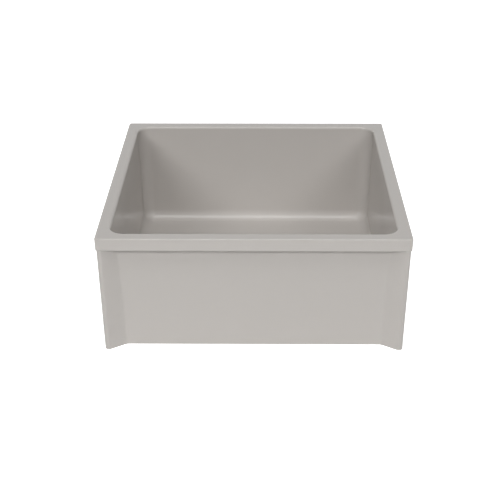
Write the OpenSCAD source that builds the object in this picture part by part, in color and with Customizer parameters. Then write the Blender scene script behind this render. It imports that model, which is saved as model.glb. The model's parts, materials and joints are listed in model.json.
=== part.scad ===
// Floor-standing mop sink: a one-piece moulded basin with a low drain and a lift-out strainer.
// Origin: centre of the basin's footprint at the ground. +Z up, the front towards -Y, millimetres.

/* [Rim] */
// Width over the rim, left to right
basin_width = 609.6; // [560:0.1:915]
// Depth over the rim, front to back
basin_depth = 609.6; // [560:0.1:915]
// Height of the rim above the ground
basin_height = 254; // [180:0.1:310]
// Width of the rim from its outer face to the tub wall
rim_width = 25.4; // [22:0.1:32]
// Height of the upright lip round the rim
lip_height = 26.6; // [18:0.1:40]
// Distance by which the lip stands out past the corner posts
lip_overhang = 2; // [1:0.1:4]
// Radius of the rim's outer top edge
rim_edge_r = 2; // [1:0.1:4]
// Radius of the rim's corners, seen from above
rim_corner_r = 5; // [4:0.1:9]
// Radius of the edge where the rim turns down into the tub
mouth_edge_r = 5.5; // [2:0.1:8]

/* [Tub] */
// Thickness of the moulded walls and floor
wall = 5.5; // [4:0.1:6.5]
// Draft of the tub walls, in degrees
tub_draft = 1.2; // [0.5:0.1:1.4]
// Radius of the tub's upright corners at the rim
tub_corner_r = 30; // [29:0.1:45]
// Radius of the cove between the walls and the floor
cove_r = 24; // [12:0.1:24.5]
// Height of the floor's edge above the ground
floor_edge_z = 14.5; // [13:0.1:30]
// Fall of the floor from its edge to the drain
floor_fall = 2.5; // [1:0.1:3.5]

/* [Apron] */
// Width of the flat part of a corner post at the ground, up to its facet
post_flat = 10.4; // [7.5:0.1:14]
// Angle between a post's facet and the side of the basin
facet_angle = 32.7; // [28:0.1:36]
// Distance by which a post's outer faces lean inwards from the lip to the ground
post_taper = 2.5; // [0.5:0.1:3]
// Radius of a post's upright outer edge
post_edge_r = 6; // [3:0.1:7]

/* [Underside] */
// Thickness of the floor ribs
rib_t = 4; // [2:0.1:6]

/* [Drain] */
// Outside diameter of the waste pipe that comes up through the ground
pipe_d = 88.9; // [80:0.1:95]
// Radial thickness of the rubber pipe seal
seal_t = 2.95; // [2:0.05:5]
// Height of the pipe seal
seal_h = 5.4; // [3:0.1:5.6]
// Chamfer at both ends of the seal's bore
seal_chamfer = 0.5; // [0.2:0.1:1]
// Wall of the drain's barrel
barrel_wall = 1.8; // [1.2:0.1:3]
// Height of the barrel's lower edge above the ground
barrel_lift = 0.6; // [0.3:0.1:1]
// Width of the inward lip at the foot of the barrel
foot_lip = 1.3; // [0.8:0.1:1.8]
// Thickness of that lip
foot_lip_t = 1; // [0.6:0.1:1.2]
// Width of the drain's flange outside the barrel
flange_width = 10.3; // [9:0.1:14]
// Thickness of the flange
flange_t = 1.6; // [1.2:0.1:2.2]
// Depth of the flange's top below the floor
flange_sink = 0.4; // [0.2:0.1:0.8]
// Thickness of the gasket under the flange
gasket_t = 1; // [0.6:0.1:1.5]
// Height of the seal's clamp ring
clamp_h = 1.5; // [1:0.1:1.8]
// Width of the spanner notches in the clamp ring
clamp_notch = 6; // [4:0.5:10]
// Radial clearance of pieces that slip into one another
slip = 0.5; // [0.3:0.05:0.8]
// Width of the square moulded boss outside the flange recess
boss_width = 8; // [6:0.5:14]

/* [Flange screws] */
// Number of screws in the flange
screw_count = 4; // [3:1:8]
// Diameter of a flange screw
screw_d = 4; // [3:0.1:4.4]
// Diameter of its countersunk head
screw_head_d = 7.2; // [6.5:0.1:7.6]
// Width of the six-sided socket in a flange screw, over its corners
screw_socket_d = 2.5; // [2:0.1:3.5]
// Length of a flange screw
screw_length = 7; // [5:0.1:7.4]
// Radial clearance of a screw in its hole
screw_clearance = 0.05; // [0.02:0.01:0.1]

/* [Strainer] */
// Rise of the dome above the flange
dome_rise = 20; // [14:0.5:32]
// Thickness of the dome's sheet
dome_t = 1.2; // [0.8:0.1:1.6]
// Width by which the dome's rim laps over the flange
rim_lap = 2.6; // [2:0.1:3]
// Radius of the flat crown at the top of the dome
crown_r = 8; // [7:0.1:10]
// Diameter of the dome's holes
dome_hole_d = 6; // [4:0.1:6.5]
// Number of rings of holes in the dome
dome_rings = 3; // [2:1:3]
// Diameter of the lint screen's holes
screen_hole_d = 3.2; // [2:0.1:4]
// Number of rings of holes in the lint screen
screen_rings = 4; // [2:1:5]
// Thickness of the lint screen
screen_t = 0.9; // [0.6:0.1:1.2]
// Diameter of the strainer's bolt
bolt_d = 5; // [4:0.1:6]
// Diameter of the bolt's flat head
bolt_head_d = 11; // [9:0.1:14]
// Height of the bolt's flat head
bolt_head_h = 1; // [0.8:0.1:1.2]
// Wall of the tube between the screen and the dome
spacer_wall = 1.5; // [1:0.1:2]
// Width of the cap nut across its flats
nut_flats = 8; // [7.5:0.1:11]
// Height of the cap nut's six-sided part
nut_h = 4; // [3:0.1:6]

/* [Hidden] */
$fn = 96;

gelcoat = [0.73, 0.71, 0.70];
steel = [0.76, 0.77, 0.78];
rubber = [0.12, 0.12, 0.12];

// How far a cutting solid runs past the face it opens
over = 1;
tub_top = basin_height + over;

half_w = basin_width / 2;
half_d = basin_depth / 2;
lip_z = basin_height - lip_height;

// Centre of a tub corner's radius, the same at every height
corner_x = half_w - rim_width - tub_corner_r;
corner_y = half_d - rim_width - tub_corner_r;

// Lowest part of the floor, a flat square round the drain
drain_z = floor_edge_z - floor_fall;

// Drain, from the pipe outwards
seal_r = pipe_d / 2;
barrel_r = seal_r + seal_t;
barrel_outer_r = barrel_r + barrel_wall;
drain_hole_r = barrel_outer_r + slip;
flange_r = barrel_outer_r + flange_width;
recess_r = flange_r + slip;
boss_reach = recess_r + boss_width;
flange_top = drain_z - flange_sink;
flange_z = flange_top - flange_t;
recess_z = flange_z - gasket_t;
seal_z = barrel_lift + foot_lip_t;
clamp_z = seal_z + seal_h;

// Strainer, standing on the flange
dome_base_r = barrel_r - slip;
dome_rim_r = barrel_r + rim_lap;
dome_sphere_r = (dome_base_r ^ 2 + dome_rise ^ 2) / (2 * dome_rise);
dome_centre_z = flange_top + dome_rise - dome_sphere_r;
crown_z = dome_centre_z + sqrt(dome_sphere_r ^ 2 - crown_r ^ 2);
skirt_z = clamp_z + clamp_h + slip;
screen_z = skirt_z;
screen_r = dome_base_r - dome_t - slip;
spacer_r = bolt_d / 2 + screw_clearance + spacer_wall;

// The flange screws stand midway between the dome's rim and the flange's edge
screw_ring_r = (dome_rim_r + flange_r) / 2;

// Half width of the tub at a height, measured from its corner centre
function tub_reach(z, grow) = tub_corner_r + grow - (basin_height - z) * tan(tub_draft);

// Rim, tub and apron

// Puts a shape made for the right rear corner at all four, turned by quarter turns
module at_corners() {
    for (turn = [0:3]) {
        right = turn == 0 || turn == 3 ? 1 : -1;
        rear = turn < 2 ? 1 : -1;
        translate([right * corner_x, rear * corner_y, 0]) rotate(90 * turn) children();
    }
}

// Section of the tub outside a corner centre: a drafted wall with a cove to the floor.
// grow = 0 gives the hollow, grow = wall the outside. A flare rounds the mouth into the rim.
module tub_section(grow, flare) {
    r = cove_r + grow;
    z = floor_edge_z - grow + r;
    x = tub_reach(z, grow) - r / cos(tub_draft);
    intersection() {
        union() {
            translate([x, z]) circle(r);
            polygon([
                [0, z - r], [x, z - r], [x, z],
                [x + r * cos(tub_draft), z - r * sin(tub_draft)],
                [tub_reach(tub_top, grow), tub_top], [0, tub_top]
            ]);
            if (flare) mouth_flare();
        }
        square([2 * tub_corner_r + grow, tub_top]);
    }
}

// Area between the tub's wall and the rounding that carries it into the rim
module mouth_flare() {
    r = mouth_edge_r;
    z = basin_height - r;
    x = tub_reach(z, 0) + r / cos(tub_draft);
    difference() {
        polygon([
            [0, z], [x, z], [x, tub_top], [0, tub_top]
        ]);
        translate([x, z]) circle(r);
    }
}

module tub_full_section(centre, grow, flare) {
    for (side = [0, 1])
        mirror([side, 0]) translate([centre, 0]) tub_section(grow, flare);
    translate([-centre, floor_edge_z - grow])
        square([2 * centre, tub_top - floor_edge_z + grow]);
}

module tub_solid(grow, flare = false) {
    rotate([90, 0, 90]) linear_extrude(2 * corner_x, center = true)
        tub_full_section(corner_y, grow, flare);
    rotate([90, 0, 0]) linear_extrude(2 * corner_y, center = true)
        tub_full_section(corner_x, grow, flare);
    at_corners() rotate_extrude(angle = 90) tub_section(grow, flare);
}

// Four gentle slopes from the floor's edge to the flat round the drain
module floor_dish() {
    edge = tub_reach(floor_edge_z + cove_r, 0) - cove_r - over;
    flat = recess_r + over;
    intersection() {
        rotate([90, 0, 0]) linear_extrude(basin_depth, center = true)
            dish_section(corner_x + edge, flat);
        rotate([90, 0, 90]) linear_extrude(basin_width, center = true)
            dish_section(corner_y + edge, flat);
    }
}

module dish_section(edge, flat) {
    polygon([
        [-edge, floor_edge_z + over], [-edge, floor_edge_z], [-flat, drain_z],
        [flat, drain_z], [edge, floor_edge_z], [edge, floor_edge_z + over]
    ]);
}

// Solid rim with the lip's height, its outer top edge rounded
module rim_block() {
    intersection() {
        translate([0, 0, lip_z]) linear_extrude(lip_height) rim_outline();
        rotate([90, 0, 0]) linear_extrude(basin_depth, center = true) rim_section(half_w);
        rotate([90, 0, 90]) linear_extrude(basin_width, center = true) rim_section(half_d);
    }
}

module rim_outline() {
    x = half_w - rim_corner_r;
    y = half_d - rim_corner_r;
    square([2 * x, basin_depth], center = true);
    square([basin_width, 2 * y], center = true);
    for (sx = [-1, 1], sy = [-1, 1]) translate([sx * x, sy * y]) circle(rim_corner_r);
}

module rim_section(half) {
    inner = half - rim_edge_r;
    top = basin_height - rim_edge_r;
    translate([-inner, lip_z]) square([2 * inner, lip_height]);
    translate([-half, lip_z]) square([2 * half, lip_height - rim_edge_r]);
    for (side = [-1, 1]) translate([side * inner, top]) circle(rim_edge_r);
}

// The tub walls' outer planes carried down to the ground: the recessed panels
module panel_block() {
    intersection() {
        rotate([90, 0, 0]) linear_extrude(basin_depth, center = true)
            panel_section(corner_x);
        rotate([90, 0, 90]) linear_extrude(basin_width, center = true)
            panel_section(corner_y);
    }
}

module panel_section(centre) {
    top = lip_z + wall;
    ground = centre + tub_reach(0, wall);
    under_rim = centre + tub_reach(top, wall);
    polygon([[-ground, 0], [ground, 0], [under_rim, top], [-under_rim, top]]);
}

// Plan of a corner post from the tub's corner centre: flat, rounded edge, flat, and a facet
// on each side. lean is how far the outer faces stand out past their place at the ground.
module post_outline(lean) {
    ground = tub_corner_r + rim_width - lip_overhang - post_taper;
    face = ground + lean;
    flat = ground - post_flat + lean / tan(facet_angle);
    root = ground - (ground - post_flat) * tan(facet_angle);
    intersection() {
        polygon([[0, 0], [root, 0], [face, flat], [face, face], [flat, face], [0, root]]);
        union() {
            square([face, face - post_edge_r]);
            square([face - post_edge_r, face]);
            translate([1, 1] * (face - post_edge_r)) circle(post_edge_r);
        }
    }
}

module corner_post() {
    slice = 0.01;
    top = lip_z + wall;
    hull() {
        linear_extrude(slice) post_outline(0);
        translate([0, 0, top - slice]) linear_extrude(slice)
            post_outline(post_taper * top / lip_z);
    }
}

module post_hollow() {
    ground = tub_corner_r + rim_width - lip_overhang - post_taper;
    face = ground - wall;
    flat = ground - post_flat + wall * tan(facet_angle / 2);
    root = ground - (ground - post_flat) * tan(facet_angle) - wall / cos(facet_angle);
    translate([0, 0, -over]) linear_extrude(lip_z + 2 * over)
        polygon([[0, 0], [root, 0], [face, flat], [face, face], [flat, face], [0, root]]);
}

// Hollow behind the lip, in the posts and under the floor
module underside() {
    skirt_x = corner_x + tub_reach(0, 0);
    skirt_y = corner_y + tub_reach(0, 0);
    cove_top = floor_edge_z + cove_r;
    difference() {
        union() {
            translate([0, 0, lip_z - over]) linear_extrude(lip_height + over - wall)
                square([basin_width - 2 * wall, basin_depth - 2 * wall], center = true);
            at_corners() post_hollow();
            translate([0, 0, -over]) linear_extrude(cove_top + over)
                square([2 * skirt_x, 2 * skirt_y], center = true);
        }
        tub_solid(wall);
        translate([0, 0, -2 * over]) linear_extrude(cove_top)
            boss_and_ribs(skirt_x, skirt_y);
    }
}

// A square boss round the drain, its sides carried on to the skirt by two ribs each way
module boss_and_ribs(reach_x, reach_y) {
    rib = boss_reach - rib_t / 2;
    square(2 * boss_reach, center = true);
    for (side = [-1, 1]) {
        translate([side * rib, 0]) square([rib_t, 2 * reach_y], center = true);
        translate([0, side * rib]) square([2 * reach_x, rib_t], center = true);
    }
}

module at_screws() {
    for (i = [0:screw_count - 1])
        rotate(360 * (i + 0.5) / screw_count) translate([screw_ring_r, 0, 0]) children();
}

module basin() {
    color(gelcoat) difference() {
        union() {
            rim_block();
            panel_block();
            at_corners() corner_post();
        }
        tub_solid(0, flare = true);
        floor_dish();
        underside();
        translate([0, 0, recess_z]) cylinder(r = recess_r, h = floor_edge_z);
        translate([0, 0, -over]) cylinder(r = drain_hole_r, h = floor_edge_z);
        at_screws() translate([0, 0, flange_top - screw_length - slip])
            cylinder(r = screw_d / 2 + screw_clearance, h = floor_edge_z);
    }
}

// Fixed parts of the drain

module ring(inner, outer, h) {
    difference() {
        cylinder(r = outer, h = h);
        translate([0, 0, -over]) cylinder(r = inner, h = h + 2 * over);
    }
}

module flange_gasket() {
    color(rubber) translate([0, 0, recess_z]) difference() {
        ring(drain_hole_r, flange_r, gasket_t);
        at_screws() translate([0, 0, -over])
            cylinder(r = screw_d / 2 + screw_clearance, h = gasket_t + 2 * over);
    }
}

module screw_head_cone(gap) {
    cylinder(r1 = screw_d / 2 + gap, r2 = screw_head_d / 2 + gap, h = flange_t);
}

module drain_body() {
    color(steel) difference() {
        rotate_extrude() polygon([
            [barrel_r - foot_lip, barrel_lift], [barrel_outer_r, barrel_lift],
            [barrel_outer_r, flange_z], [flange_r, flange_z], [flange_r, flange_top],
            [barrel_r, flange_top], [barrel_r, seal_z], [barrel_r - foot_lip, seal_z]
        ]);
        at_screws() translate([0, 0, flange_z]) {
            screw_head_cone(screw_clearance);
            translate([0, 0, -over]) cylinder(r = screw_d / 2 + screw_clearance, h = 2 * over);
        }
    }
}

module flange_screws() {
    color(steel) at_screws() difference() {
        union() {
            translate([0, 0, flange_z]) screw_head_cone(0);
            translate([0, 0, flange_top - screw_length])
                cylinder(r = screw_d / 2, h = screw_length - flange_t / 2);
        }
        translate([0, 0, flange_top - flange_t / 2])
            cylinder(d = screw_socket_d, h = flange_t, $fn = 6);
    }
}

// Rubber ring that grips the waste pipe, its bore chamfered at both ends
module pipe_seal() {
    color(rubber) rotate_extrude() translate([0, seal_z]) polygon([
        [seal_r + seal_chamfer, 0], [barrel_r, 0], [barrel_r, seal_h],
        [seal_r + seal_chamfer, seal_h], [seal_r, seal_h - seal_chamfer],
        [seal_r, seal_chamfer]
    ]);
}

// Threaded ring with four spanner notches that presses the seal down
module clamp_ring() {
    color(steel) translate([0, 0, clamp_z]) difference() {
        ring(seal_r + slip, barrel_r - screw_clearance, clamp_h);
        for (turn = [0, 90]) rotate(turn) translate([0, 0, clamp_h])
            cube([4 * barrel_r, clamp_notch, clamp_h], center = true);
    }
}

// Strainer, which lifts out as one piece

// Rings of round holes: 12 in the first ring and 6 more in each ring outside it
module hole_rings(rings, first_r, last_r, hole_d, h) {
    for (i = [1:rings])
        for (k = [1:6 * i + 6])
            rotate(360 * k / (6 * i + 6))
                translate([first_r + (last_r - first_r) * (i - 1) / (rings - 1), 0, 0])
                    cylinder(d = hole_d, h = h, $fn = 32);
}

module dome_section() {
    difference() {
        union() {
            intersection() {
                translate([0, dome_centre_z]) circle(dome_sphere_r);
                translate([0, flange_top]) square([dome_rim_r, crown_z - flange_top]);
            }
            translate([0, flange_top]) square([dome_rim_r, dome_t]);
            translate([0, skirt_z]) square([dome_base_r, flange_top - skirt_z + dome_t]);
        }
        intersection() {
            translate([0, dome_centre_z]) circle(dome_sphere_r - dome_t);
            translate([0, flange_top]) square([dome_rim_r, crown_z - dome_t - flange_top]);
        }
        translate([0, skirt_z - over])
            square([dome_base_r - dome_t, flange_top - skirt_z + over]);
    }
}

module dome_strainer() {
    first_r = crown_r + dome_hole_d;
    last_r = dome_base_r - dome_hole_d - dome_t;
    color(steel) difference() {
        rotate_extrude() dome_section();
        translate([0, 0, flange_top + dome_t])
            hole_rings(dome_rings, first_r, last_r, dome_hole_d, dome_rise);
        cylinder(r = bolt_d / 2 + screw_clearance, h = crown_z + over);
    }
}

module lint_screen() {
    first_r = bolt_head_d / 2 + screen_hole_d;
    last_r = screen_r - screen_hole_d;
    color(steel) translate([0, 0, screen_z]) difference() {
        ring(bolt_d / 2 + screw_clearance, screen_r, screen_t);
        translate([0, 0, -over])
            hole_rings(screen_rings, first_r, last_r, screen_hole_d, screen_t + 2 * over);
    }
}

module spacer_tube() {
    z = screen_z + screen_t;
    color(steel) translate([0, 0, z])
        ring(bolt_d / 2 + screw_clearance, spacer_r, crown_z - dome_t - z);
}

module strainer_bolt() {
    color(steel) {
        translate([0, 0, screen_z - bolt_head_h]) cylinder(d = bolt_head_d, h = bolt_head_h);
        translate([0, 0, screen_z - bolt_head_h / 2])
            cylinder(d = bolt_d, h = crown_z + nut_h - screen_z + bolt_head_h / 2);
    }
}

module cap_nut() {
    cap_r = nut_flats / 2 - slip;
    hole_r = bolt_d / 2 + screw_clearance;
    color(steel) translate([0, 0, crown_z]) difference() {
        union() {
            cylinder(d = nut_flats / cos(30), h = nut_h, $fn = 6);
            translate([0, 0, nut_h]) intersection() {
                sphere(cap_r);
                cylinder(r = nut_flats, h = nut_flats);
            }
        }
        translate([0, 0, -over]) cylinder(r = hole_r, h = nut_h + over + screw_clearance);
    }
}

basin();
flange_gasket();
drain_body();
flange_screws();
pipe_seal();
clamp_ring();
dome_strainer();
lint_screen();
spacer_tube();
strainer_bolt();
cap_nut();
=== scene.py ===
import json

import bpy
import numpy as np
from mathutils import Matrix, Vector

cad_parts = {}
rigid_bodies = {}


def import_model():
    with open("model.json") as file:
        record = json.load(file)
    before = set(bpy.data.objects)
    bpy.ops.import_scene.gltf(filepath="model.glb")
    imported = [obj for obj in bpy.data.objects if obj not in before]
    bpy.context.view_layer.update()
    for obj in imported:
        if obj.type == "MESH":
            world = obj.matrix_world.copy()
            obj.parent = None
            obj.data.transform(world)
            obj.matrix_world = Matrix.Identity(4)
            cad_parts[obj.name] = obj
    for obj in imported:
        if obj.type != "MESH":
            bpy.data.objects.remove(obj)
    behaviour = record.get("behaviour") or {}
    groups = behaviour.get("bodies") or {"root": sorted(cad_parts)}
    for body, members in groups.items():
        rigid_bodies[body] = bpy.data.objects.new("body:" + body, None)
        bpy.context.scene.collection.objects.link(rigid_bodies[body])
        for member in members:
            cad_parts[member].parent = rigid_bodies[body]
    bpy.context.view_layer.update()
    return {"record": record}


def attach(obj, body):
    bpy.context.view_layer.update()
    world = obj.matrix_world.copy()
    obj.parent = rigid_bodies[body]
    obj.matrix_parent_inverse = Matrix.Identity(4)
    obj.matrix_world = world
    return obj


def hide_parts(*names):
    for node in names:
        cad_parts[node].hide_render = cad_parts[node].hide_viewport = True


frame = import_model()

# Camera
# It stands 2.1 m in front of the basin's middle and 1.17 m above the ground, and looks down by
# 28 degrees. Its place and lens were worked out from the basin's outline in the photograph.
camera_place = (0.0158, -2.0671, 1.1684)
pitch, yaw, roll = np.radians([28.009, 0.732, -0.198])
lens = bpy.data.cameras.new("front_view")
lens.sensor_width = 36
lens.lens = 75.13
camera = bpy.data.objects.new("front_view", lens)
camera.matrix_world = (
    Matrix.Translation(camera_place)
    @ Matrix.Rotation(yaw, 4, "Z")
    @ Matrix.Rotation(np.pi / 2 - pitch, 4, "X")
    @ Matrix.Rotation(roll, 4, "Z")
)
bpy.context.scene.collection.objects.link(camera)
bpy.context.scene.camera = camera

# Basin
# One moulding of glass fibre with a glossy grey gelcoat: a coved tub, a broad rim with a hanging
# lip, recessed panels between hollow corner posts, and a boss under the floor for the drain.
# Its skin is a stack of rings, in millimetres, over the rim, down the outside and back beneath.
half, height, wall = 304.8, 254, 5.5    # half the width, the whole height, the moulding's wall
rim, tub_r = 25.4, 30                   # the rim's width; the tub's upright corners at the rim
corner = half - rim - tub_r             # centre of each upright corner, on both axes
draft = np.radians(1.2)                 # of tub, panels and lip
bore_r = 49.7                           # hole for the drain
recess_r, recess_top_r = 60, 61         # recess of its flange, below and above the rounded edge
boss, boss_r = 65, 3                    # centre and radius of the boss's upright corners
floor_z, floor_edge_z = 12, 14.5        # top of the floor at the drain's recess and at the cove
squareness = 12                         # of the floor's level lines
cove = 24                               # radius between floor and wall
cove_z = floor_edge_z + cove            # centre of the cove's arc
mouth_r, rim_edge_r = 5.5, 2            # rounded inner and outer edges of the rim
mouth_z = height - mouth_r              # centre of the inner edge's arc
lip_z, lip_r, hem_r = 227.4, 5, 1.2     # the lip's lower edge, its upright corners, its hem
under_z = floor_edge_z - wall           # underside of the floor
ceiling_z = height - wall               # underside of the rim

# Corner posts, measured from the corner's centre
overhang, post_taper = 2, 2.5           # of the lip past a post; of the post down to the ground
post_foot = tub_r + rim - overhang - post_taper
post_flat = 10.4                        # from the foot's corner to its facet, unrounded
facet = np.radians(32.7)                # between a facet and the side
facet_root = post_foot - (post_foot - post_flat) * np.tan(facet)
root_r, edge_r, post_r = 12, 5, 6       # hollow fillet, rounded edge and upright corner
foot_r = 1                              # rounding at the ground
slot_x = tub_r + rim - wall             # outer wall of the slot behind the lip
slot_step = 0.6                         # between the last two columns on the facet

# Columns of one eighth of a ring: 12 along the side, up to the corner's start at 0, and then
# the ends of panel, fillet, facet, edge and flat, and the corner's diagonal
side, panel_end, root_end, facet_end, edge_end, flat_end, diagonal = 12, 3, 7, 12, 16, 18, 24
column = np.arange(-side, diagonal + 1)
turn = np.radians(45) * np.clip(column / diagonal, 0, 1)
along = np.clip(column / side + 1, 0, 1)


def reach(z, grow=0):
    """Distance of a drafted wall from its corner's centre: the tub's radius at the rim, plus
    what it grows by, less the tangent of the draft for each millimetre below the rim."""
    return tub_r + grow - (height - z) * np.tan(draft)


cove_start = reach(cove_z) - cove / np.cos(draft)


def rows(*values):
    """Numbers or lists as columns of one length, with a row for each ring."""
    return (np.atleast_1d(v).astype(float)[:, None] for v in np.broadcast_arrays(*values))


def rings(x, y, z):
    """One ring for each height: x and y of its columns, with the height added."""
    return np.stack(np.broadcast_arrays(x, y, np.asarray(z, float)), -1)


def square_rings(centre, radius, z):
    """Squares with rounded corners: an arc about (centre, centre), then straight to the side."""
    radius, z = rows(radius, z)
    return rings(centre + radius * np.cos(turn), centre * along + radius * np.sin(turn), z)


def round_rings(radius, z):
    """Circles about the drain, their columns at even angles."""
    radius, z = rows(radius, z)
    angle = np.radians(45) * (column + side) / (side + diagonal)
    return rings(radius * np.cos(angle), radius * np.sin(angle), z)


def apron_rings(z, inset=0):
    """Panel and post at each height. From the side's middle: the panel, a hollow fillet, the
    facet, a rounded edge, the post's flat and its rounded corner. The facet stands out from its
    root by the tangent of its angle, and its last column lies at the slot behind the lip. Every
    point is then moved inwards by the inset, against the way that its face looks in plan."""
    z, inset = rows(z, inset)
    panel = reach(np.minimum(z, ceiling_z), wall)
    face = post_foot + post_taper * np.minimum(z / lip_z, 1)
    looks = np.interp(
        column, [panel_end, root_end, facet_end, edge_end, flat_end, diagonal],
        [0, -facet, -facet, 0, 0, np.pi / 4],
    )
    start = panel + root_r * (1 - np.cos(facet))
    step = (slot_x - slot_step - start) / (facet_end - 2 - root_end)
    on_facet = np.where(column == facet_end - 1, slot_x, start + step * (column - root_end))
    x = np.select(
        [column < root_end, column < facet_end, column < flat_end],
        [panel + root_r * (1 - np.cos(looks)), on_facet, face - edge_r * (1 - np.cos(looks))],
        face - post_r * (1 - np.cos(looks)),
    )
    root = (panel - facet_root) / np.tan(facet) - root_r * np.tan(facet / 2)
    flat = (face - facet_root) / np.tan(facet) + edge_r * np.tan(facet / 2)
    across = (face - post_r - flat) / (flat_end - edge_end)
    y = np.select(
        [column < end for end in (0, panel_end, root_end, facet_end, edge_end, flat_end)],
        [
            corner * column / side,
            root * column / panel_end,
            root - root_r * np.sin(looks),
            (on_facet - facet_root) / np.tan(facet),
            flat + edge_r * np.sin(looks),
            flat + across * (column - edge_end),
        ],
        face - post_r + post_r * np.sin(looks),
    )
    return rings(corner + x - inset * np.cos(looks), corner + y - inset * np.sin(looks), z)


def lip_rings(z, inset=0):
    """The rim's outer face: straight sides and rounded upright corners, moved inwards by the
    inset, and leaning inwards to its lower edge by the draft. Its columns along a post lie where
    the post's do, and the last one 1.6 mm before the rounded corner."""
    z, inset = rows(z, inset)
    radius = lip_r - inset - (height - z) * np.tan(draft)
    centre = half - lip_r
    post = apron_rings(lip_z)[0, :, 1]
    base = np.select([column < flat_end - 1, column < flat_end], [post, centre - 1.6], centre)
    angle = np.radians(45) * np.clip((column - flat_end) / (diagonal - flat_end), 0, 1)
    return rings(centre + radius * np.cos(angle), base + radius * np.sin(angle), z)


# Floor, from the drain's recess to the cove: four gentle planes with soft creases, as it rises
# evenly with the distance (|x|^n + |y|^n)^(1/n) from the drain, n being the squareness
share = np.linspace(0, 1, 10)[:, None, None]
floor = (1 - share) * round_rings(recess_top_r, 0) + share * square_rings(corner, cove_start, 0)
away = (np.abs(floor[..., :2]) ** squareness).sum(-1) ** (1 / squareness)
floor[..., 2] = np.interp(away, [recess_top_r, corner + cove_start], [floor_z, floor_edge_z])

# Cove, wall, the rim's rounded edges, the lip and the apron. On plain faces the rings lie at
# heights that keep the shading even.
sweep = np.linspace(0, np.pi / 2 - draft, 17)[1:]
cove_rings = square_rings(
    corner, cove_start + cove * np.sin(sweep), cove_z - cove * np.cos(sweep)
)
wall_z = np.array([41, 90, 145, 200, 247])
wall_rings = square_rings(corner, reach(wall_z), wall_z)
sweep = np.linspace(np.pi - draft, np.pi / 2, 9)
mouth_x = reach(mouth_z) + mouth_r / np.cos(draft)
mouth_rings = square_rings(
    corner, mouth_x + mouth_r * np.cos(sweep), mouth_z + mouth_r * np.sin(sweep)
)
sweep = np.linspace(np.pi / 2, 0, 7)
edge_rings = lip_rings(height - rim_edge_r * (1 - np.sin(sweep)), rim_edge_r * (1 - np.cos(sweep)))
lip_face = lip_rings([249, 232])
sweep = np.linspace(0, np.pi / 2, 5)
hem_rings = lip_rings(lip_z + hem_r * (1 - np.sin(sweep)), hem_r * (1 - np.cos(sweep)))
apron = apron_rings([226, 120, 3])
foot_rings = apron_rings(foot_r * (1 - np.sin(sweep)), foot_r * (1 - np.cos(sweep)))

# Slot behind the lip, which ends where the post's facet reaches the lip
under_lip = apron_rings(lip_z)[0]
slot_top = apron_rings(ceiling_z)[0]
open_slot = (column < facet_end - 1)[:, None]
slot_out = np.maximum(under_lip, [corner + slot_x, 0, 0])
slot_roof = slot_out + [0, 0, ceiling_z - lip_z]
slot_rings = np.stack([
    slot_out,
    np.where(open_slot, slot_roof, slot_out),
    np.where(open_slot, slot_top, under_lip),
    under_lip,
])

# Inner face of the skirt and, past the column where its hollow starts, of the post: one wall
# inside panel, facet and post at the ground. It is upright, and meets the tub's back above.
hollow = 9
inner_at = [-side, 0, panel_end, root_end, hollow - 1, hollow, facet_end, edge_end, diagonal]
inner_y = np.array([-corner, 0, 9.4, 10.26, 13.4, 17.5, 41.65, 42.5, post_foot - wall])
inner_x = facet_root - wall / np.cos(facet) + inner_y * np.tan(facet)
inner_x = np.clip(inner_x, reach(0), post_foot - wall)
skirt_x, skirt_y = (np.interp(column, inner_at, line) for line in (inner_x, inner_y))
in_post = (column >= hollow)[:, None]

# Back of the tub, from that face to the floor: straight along the sides, and radial about the
# corner's centre, where its columns aim at the skirt's and fan out evenly behind a post
out = np.where(column > 0, np.hypot(skirt_x, skirt_y), skirt_x)
aim = np.where(column > 0, np.arctan2(skirt_y, skirt_x), 0)
fan = np.interp(column, [hollow, diagonal], [aim[side + hollow], np.pi / 4])
aim = np.where(column > hollow, fan, aim)
along_side = np.minimum(skirt_y, 0)
back_r = cove + wall
lowest = np.arcsin(np.clip((out - cove_start) / back_r, 0, 1))


def back_rings(radius, z):
    """Rings of the tub's back with these distances from the corner's centre."""
    return rings(
        corner + radius * np.cos(aim), corner + along_side + radius * np.sin(aim), z
    )


skirt = rings(corner + skirt_x, corner + skirt_y, np.zeros((1, column.size)))
meet = skirt + rings(0, 0, cove_z - back_r * np.cos(lowest))
hollow_top = np.where(in_post, skirt + [0, 0, ceiling_z], meet)
back_z = np.array([[ceiling_z], [cove_z]])
post_back = out[side + hollow] - (ceiling_z - back_z) * np.tan(draft)
post_side = np.where(in_post, back_rings(post_back, back_z), meet)
sweep = lowest * np.linspace(1, 0, 10)[:, None]
under_cove = back_rings(cove_start + back_r * np.sin(sweep), cove_z - back_r * np.cos(sweep))

# The whole skin: an eighth, mirrored to a quarter, and its four turns about the drain
eighth = np.concatenate([
    round_rings(
        [recess_r, recess_r + 0.2, recess_top_r], [floor_z - 0.8, floor_z - 0.2, floor_z]
    ),
    floor[1:], cove_rings, wall_rings, mouth_rings,
    square_rings(corner, mouth_x + 1, height), lip_rings(height, 2 * rim_edge_r),
    edge_rings, lip_face, hem_rings, slot_rings,
    apron, foot_rings, skirt, meet, hollow_top, post_side, under_cove,
    square_rings(boss, boss_r, [under_z, 0]),
    round_rings([bore_r, bore_r, recess_r], [0, under_z, under_z]),
])
quarter = np.concatenate([eighth, eighth[:, -2::-1, [1, 0, 2]]], 1)[:, :-1]
swapped = quarter[..., [1, 0, 2]]
basin_grid = np.concatenate(
    [quarter, swapped * [-1, 1, 1], quarter * [-1, -1, 1], swapped * [1, -1, 1]], 1
)


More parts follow.
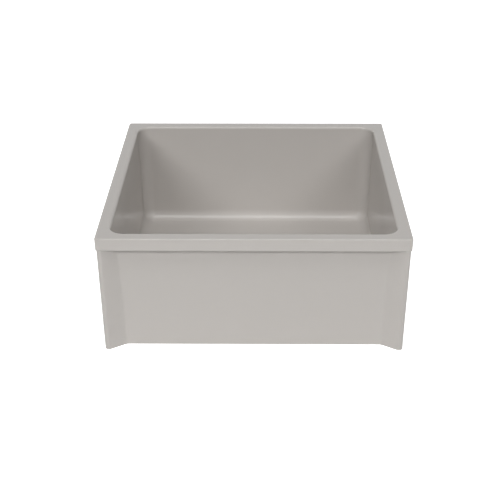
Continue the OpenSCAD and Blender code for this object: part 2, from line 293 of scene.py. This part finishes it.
def skin(name, grids, body, material):
    """A piece of closed grids of points in millimetres, each joined to itself both ways: corner
    (i, j) to (i+1, j) to (i+1, j+1) to (i, j+1). Points that agree to a ten-thousandth of a
    millimetre become one, and a square that loses a corner becomes a triangle."""
    points, quads, first = [], [], 0
    for grid in grids:
        index = first + np.arange(grid.shape[0] * grid.shape[1]).reshape(grid.shape[:2])
        up, beside = np.roll(index, -1, 0), np.roll(index, -1, 1)
        quads.append(np.stack([index, up, np.roll(up, -1, 1), beside], -1).reshape(-1, 4))
        points.append(grid.reshape(-1, 3))
        first += index.size
    keys = np.round(np.concatenate(points) * 1e4).astype(np.int64)
    keys, same = np.unique(keys, axis=0, return_inverse=True)
    quads = same.reshape(-1)[np.concatenate(quads)]
    whole = (np.diff(np.sort(quads, 1), axis=1) > 0).all(1)
    halves = np.concatenate([quads[~whole][:, [0, 1, 2]], quads[~whole][:, [0, 2, 3]]])
    halves = halves[(np.diff(np.sort(halves, 1), axis=1) > 0).all(1)]
    mesh = bpy.data.meshes.new(name)
    mesh.from_pydata(keys * 1e-7, [], quads[whole].tolist() + halves.tolist())
    mesh.shade_smooth()
    mesh.set_sharp_from_angle(angle=np.radians(35))
    mesh.materials.append(material)
    piece = bpy.data.objects.new(name, mesh)
    bpy.context.scene.collection.objects.link(piece)
    even = piece.modifiers.new("even_shading", "WEIGHTED_NORMAL")
    even.keep_sharp = True
    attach(piece, body)
    return piece


class Wire:
    """A shader socket with Python's operators: each one adds its Math node."""

    def __init__(self, tree, socket):
        self.tree, self.socket = tree, socket

    def math(self, operation, *values):
        return add_node(self.tree, "ShaderNodeMath", {"operation": operation}, values)

    def __add__(self, other):
        return self.math("ADD", self, other)

    def __mul__(self, other):
        return self.math("MULTIPLY", self, other)

    __radd__, __rmul__ = __add__, __mul__


def add_node(tree, kind, settings=None, values=(), output=0):
    """Any node: its settings come first, then the values or links of its sockets, by place or
    by name. Gives one of its outputs, by place or by name, as a Wire."""
    node = tree.nodes.new(kind)
    for key, value in (settings or {}).items():
        setattr(node, key, value)
    pairs = values.items() if isinstance(values, dict) else enumerate(values)
    for key, value in pairs:
        if isinstance(value, Wire):
            tree.links.new(value.socket, node.inputs[key])
        else:
            node.inputs[key].default_value = value
    return Wire(tree, node.outputs[output])


def shader(name, constants):
    """A material with one Principled shader and its constant sockets set. Gives the material,
    its tree, the shader and the object's own coordinates."""
    material = bpy.data.materials.new(name)
    material.use_nodes = True
    tree = material.node_tree
    main = tree.nodes["Principled BSDF"]
    for key, value in constants.items():
        main.inputs[key].default_value = value
    return material, tree, main, add_node(tree, "ShaderNodeTexCoord", output="Object")


def noise(tree, place, scale, detail):
    """Noise from 0 to 1 at a place, with scale in cells per metre."""
    return add_node(
        tree, "ShaderNodeTexNoise", values={"Vector": place, "Scale": scale, "Detail": detail}
    )


def mix(tree, share, first, second):
    """First colour where share is 0, second where it is 1. The node's sockets 6 and 7 are its
    two colours, and its output 2 is the mixed one."""
    return add_node(
        tree, "ShaderNodeMix", {"data_type": "RGBA"},
        {0: share, 6: (*first, 1), 7: (*second, 1)}, output=2,
    )


def dress(tree, main, colour, roughness, relief, strength, depth):
    """Links a shader's colour and roughness, and a bump of the relief, its depth in metres."""
    bump = add_node(
        tree, "ShaderNodeBump",
        values={"Strength": strength, "Distance": depth, "Height": relief},
    )
    tree.links.new(colour.socket, main.inputs["Base Color"])
    tree.links.new(roughness.socket, main.inputs["Roughness"])
    tree.links.new(bump.socket, main.inputs["Normal"])


# Gelcoat: warm light grey, a trace darker in drifts, with the faint ripple of its mould
gelcoat, tree, main, place = shader("gelcoat", {"Specular IOR Level": 0.3})
drift = noise(tree, place, scale=5, detail=1)
dress(
    tree, main, mix(tree, drift, (0.520, 0.494, 0.468), (0.508, 0.483, 0.458)),
    0.1 + drift * 0.04, relief=noise(tree, place, scale=9, detail=0), strength=0.4, depth=0.001,
)
basin = skin("basin_moulding", [basin_grid], "basin", gelcoat)
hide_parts("basin")


# Floor ribs
# Four ribs moulded under the floor, two each way, in line with the sides of the drain's boss.
# Each one is drafted, has a rounded lower edge, and climbs the back of the cove at its ends.
rib_low, rib_into = 0.15, 0.5           # height of its lower edge, and how far it enters the skirt
rib_offset = boss + boss_r - 2          # its outer side lies in line with the boss's
across = np.array([-2.1, -1.8, -1.68, -1.3, 1.3, 1.68, 1.8, 2.1])
rise = np.array([0, 0.6, 0.24, 0, 0, 0.24, 0.6, 0])


def rib_grid(offset):
    """Half width 1.8 mm at the rounded lower edge and 2.1 mm at the top. The top follows the
    middle of the floor and the cove: z = centre - sqrt(r^2 - (x - x0)^2) past the cove's start."""
    past = np.linspace(0, reach(0) + rib_into - cove_start, 14)
    top = cove_z - np.sqrt((cove + wall / 2) ** 2 - past ** 2)
    x = np.concatenate([past[::-1], past]) + corner + cove_start
    x[:past.size] *= -1
    z = np.tile(rib_low + rise, (x.size, 1))
    z[:, [0, -1]] = np.concatenate([top[::-1], top])[:, None]
    body = np.stack(np.broadcast_arrays(x[:, None], offset + across, z), -1)[::-1]
    ends = np.repeat(body[[0, -1]].mean(1, keepdims=True), across.size, 1)
    return np.concatenate([ends[:1], body, ends[1:]])


ribs = []
for offset in (-rib_offset, rib_offset):
    grid = rib_grid(offset)
    ribs += [grid, grid[..., [1, 0, 2]] * [-1, 1, 1]]
skin("floor_ribs", ribs, "basin", gelcoat)


# Drain
# The flange with its short barrel, and the ring that clamps the seal from below, are turned from
# stainless steel and left satin. The tool's marks run in circles about the drain's axis.
def turned_steel(name, colour, shade, roughness, grooves, strength):
    """Fine grooves in circles about the drain's axis, from noise of the distance to it and of
    the height. They darken the colour to its shade and vary the roughness, together with a faint
    cloud of handling."""
    material, tree, main, place = shader(name, {"Metallic": 1})
    flat = add_node(
        tree, "ShaderNodeVectorMath", {"operation": "MULTIPLY"}, [place, (1, 1, 0)]
    )
    radius = add_node(tree, "ShaderNodeVectorMath", {"operation": "LENGTH"}, [flat], "Value")
    level = add_node(tree, "ShaderNodeSeparateXYZ", values=[place], output="Z")
    about = add_node(tree, "ShaderNodeCombineXYZ", values=[radius, level])
    groove = noise(tree, about, grooves, detail=3)
    cloud = noise(tree, place, scale=90, detail=2)
    dark = tuple(c * shade for c in colour)
    dress(
        tree, main, mix(tree, groove * 0.6 + cloud * 0.4, colour, dark),
        roughness + groove * 0.1 + cloud * 0.06, relief=groove, strength=strength, depth=0.0001,
    )
    return material


def finish_nodes(slot, material):
    """Gives a material to the CAD nodes that have this slot in the record."""
    for subpart in frame["record"]["subparts"]:
        if subpart["material_slot"] == slot:
            bpy.data.objects[subpart["node"]].data.materials[0] = material


finish_nodes("drain_steel", turned_steel(
    "drain_steel", (0.42, 0.425, 0.435), shade=0.78, roughness=0.2, grooves=2600, strength=0.35
))

# Strainer
# The dome is spun and the lint screen punched from stainless steel, with a tube between them, all
# polished. They lie loose in the drain's flange and are lifted out to be emptied.
finish_nodes("strainer_steel", turned_steel(
    "strainer_steel", (0.47, 0.475, 0.485), shade=0.88, roughness=0.1, grooves=1500, strength=0.12
))

# Fasteners
# The flange's countersunk screws, and the bolt and cap nut that hold the strainer together, are
# turned stainless steel, darker than the drain and with finer marks.
finish_nodes("fastener_steel", turned_steel(
    "fastener_steel", (0.36, 0.365, 0.375), shade=0.8, roughness=0.16, grooves=3500, strength=0.3
))

# Seals
# The flat gasket under the flange and the ring that grips the waste pipe are dull black rubber,
# a little paler in patches where it has bloomed.
rubber, tree, main, place = shader("seal_rubber", {"Specular IOR Level": 0.4})
bloom = noise(tree, place, scale=60, detail=4)
dress(
    tree, main, mix(tree, bloom, (0.012, 0.012, 0.012), (0.028, 0.027, 0.026)),
    0.62 + bloom * 0.2, relief=noise(tree, place, scale=1800, detail=2), strength=0.3,
    depth=0.0001,
)
finish_nodes("seal_rubber", rubber)


# Studio
# A white floor and backdrop, a wide soft box on each side of the camera, the left one the
# stronger, one overhead, and three weaker ones behind the basin. Camera and reflections see floor
# and backdrop as white, but the floor under the basin has no glow, so the open drain looks dark.
def seen(tree):
    """1 for rays from the camera, from reflections and through glass, 0 for all other light."""
    return sum(
        add_node(tree, "ShaderNodeLightPath", output=f"Is {kind} Ray")
        for kind in ("Camera", "Glossy", "Transmission")
    )


wide, under, low = 6, 0.26, -0.0003     # half widths of the floor and of its dull square; height
ring = [(-1, -1), (1, -1), (1, 1), (-1, 1)]
ground = bpy.data.meshes.new("studio_floor")
ground.from_pydata(
    [(x * size, y * size, low) for size in (wide, under) for x, y in ring], [],
    [(0, 1, 5, 4), (1, 2, 6, 5), (2, 3, 7, 6), (3, 0, 4, 7), (4, 5, 6, 7)],
)
white = {"Base Color": (0.8, 0.8, 0.8, 1), "Roughness": 0.9}
paper, tree, main, place = shader("white_paper", {**white, "Emission Color": (1, 1, 1, 1)})
tree.links.new((seen(tree) * 0.8).socket, main.inputs["Emission Strength"])
dull_paper = shader("shaded_paper", white)[0]
ground.materials.append(paper)
ground.materials.append(dull_paper)
ground.polygons[4].material_index = 1
floor_object = bpy.data.objects.new("studio_floor", ground)
bpy.context.scene.collection.objects.link(floor_object)

world = bpy.data.worlds.new("studio")
bpy.context.scene.world = world
world.use_nodes = True
tree = world.node_tree
background = tree.nodes["Background"]
background.inputs["Color"].default_value = (1, 1, 1, 1)
tree.links.new((0.03 + seen(tree) * 0.97).socket, background.inputs["Strength"])


def soft_box(name, place, width, depth, power):
    """A rectangular area lamp at a place, aimed at the middle of the tub. Metres and watts."""
    lamp = bpy.data.lights.new(name, "AREA")
    lamp.shape = "RECTANGLE"
    lamp.size, lamp.size_y, lamp.energy = width, depth, power
    box = bpy.data.objects.new(name, lamp)
    box.location = place
    towards = Vector((0, 0, 0.12)) - Vector(place)
    box.rotation_mode = "QUATERNION"
    box.rotation_quaternion = towards.to_track_quat("-Z", "Y")
    bpy.context.scene.collection.objects.link(box)


soft_box("front_left", (-2.7, -4.85, 3.4), width=2.8, depth=1.4, power=151)
soft_box("front_right", (2.7, -4.85, 3.4), width=2.8, depth=1.4, power=101)
soft_box("overhead", (0, -1.5, 4.4), width=2.2, depth=2.2, power=79)
soft_box("rear_top", (0, 3.2, 3.9), width=2, depth=1.2, power=12)
soft_box("rear_left", (-3.9, 4, 0.7), width=2, depth=0.9, power=60)
soft_box("rear_right", (3.9, 4, 0.7), width=2, depth=0.9, power=60)

view_settings = bpy.context.scene.view_settings
view_settings.view_transform = "Standard"
